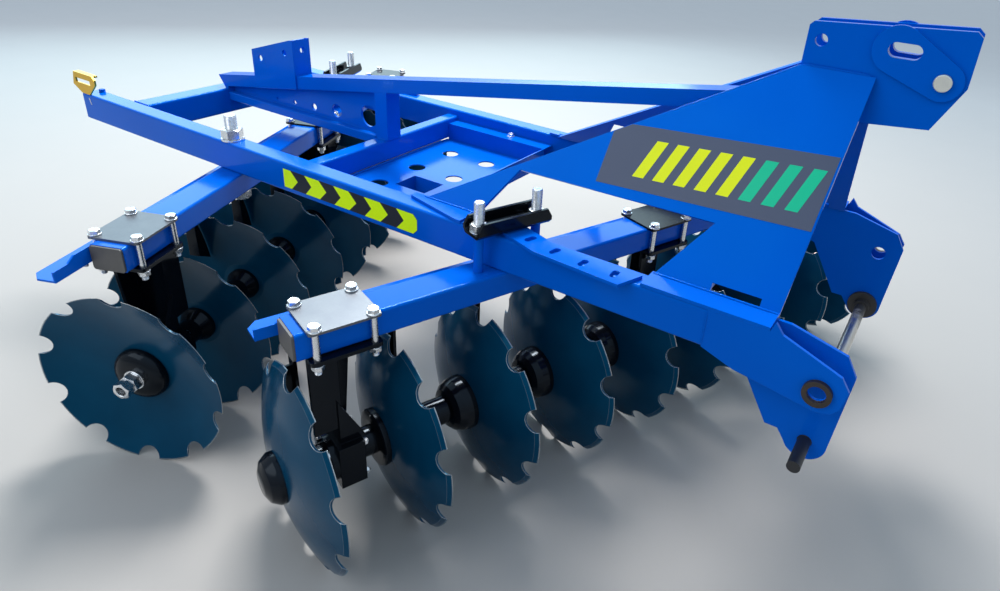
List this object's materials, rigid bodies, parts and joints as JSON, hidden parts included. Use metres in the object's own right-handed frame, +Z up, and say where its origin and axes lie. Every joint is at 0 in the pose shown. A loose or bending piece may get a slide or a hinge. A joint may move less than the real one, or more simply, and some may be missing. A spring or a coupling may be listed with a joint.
{
  "type": "mounted offset disc harrow",
  "caption": "Three-point mounted offset disc harrow: tube frame with a headstock, two angled gangs of notched dished discs, scrapers and a weight tray.",
  "frame": {"origin": "on the ground, below the middle of the machine's box", "axes": "+X forward, towards the tractor, +Y to the machine's left, +Z up"},
  "size_m": [2.632, 2.0784, 1.276],
  "materials": {
    "blue_paint": "gloss enamel",
    "black_paint": "gloss enamel",
    "disc_enamel": "semi-gloss dip coat",
    "amber_paint": "gloss enamel",
    "zinc": "bright zinc plate",
    "bright_steel": "turned and plated",
    "bare_steel": "bare, lightly worn",
    "cap_plastic": "moulded"
  },
  "bodies": {
    "frame": {"near_rail": "blue_paint", "far_rail": "blue_paint", "rear_cross_tube": "blue_paint", "middle_cross_tube": "blue_paint", "front_cross_tube": "blue_paint", "weight_tray": "blue_paint", "spine_tube": "blue_paint", "spine_web": "blue_paint", "brace_post": "blue_paint", "top_brace": "blue_paint", "rear_bracket": "blue_paint", "near_tower_plate": "blue_paint", "far_tower_plate": "blue_paint", "top_link_plates": "blue_paint", "top_link_pin": "zinc", "near_hitch_plates": "blue_paint", "far_hitch_plates": "blue_paint", "hitch_bushes": "black_paint", "cross_shaft": "bright_steel", "angle_straps": "blue_paint", "lamp_brackets": "amber_paint", "pivot_bolts": "zinc"},
    "front_gang": {"front_beam": "blue_paint", "front_end_caps": "cap_plastic", "front_clamp_plates": "bare_steel", "front_hanger_bolts": "zinc", "front_hangers": "black_paint", "front_scraper_bar": "blue_paint", "front_scrapers": "black_paint", "front_angle_clamp": "black_paint"},
    "rear_gang": {"rear_beam": "blue_paint", "rear_end_caps": "cap_plastic", "rear_clamp_plates": "bare_steel", "rear_hanger_bolts": "zinc", "rear_hangers": "black_paint", "rear_scraper_bar": "blue_paint", "rear_scrapers": "black_paint", "rear_angle_clamp": "black_paint"},
    "front_rotor": {"front_axle": "bare_steel", "front_discs": "disc_enamel", "front_spools": "black_paint"},
    "rear_rotor": {"rear_axle": "bare_steel", "rear_discs": "disc_enamel", "rear_spools": "black_paint"}
  },
  "joints": [
    {"name": "front_gang_angle", "type": "hinge", "parent": "frame", "child": "front_gang", "pos_m": [0.75377, 0.35512, 0.6], "axis": [0, 0, 1], "range_deg": [0, 17.4]},
    {"name": "rear_gang_angle", "type": "hinge", "parent": "frame", "child": "rear_gang", "pos_m": [-0.51801, -0.38488, 0.6], "axis": [0, 0, -1], "range_deg": [0, 17.4]},
    {"name": "front_discs_spin", "type": "hinge", "parent": "front_gang", "child": "front_rotor", "pos_m": [0.611, -0.01488, 0.25312], "axis": [0.36, 0.933, 0], "continuous": true},
    {"name": "rear_discs_spin", "type": "hinge", "parent": "rear_gang", "child": "rear_rotor", "pos_m": [-0.666, -0.01488, 0.25312], "axis": [-0.3714, 0.9285, 0], "continuous": true}
  ]
}
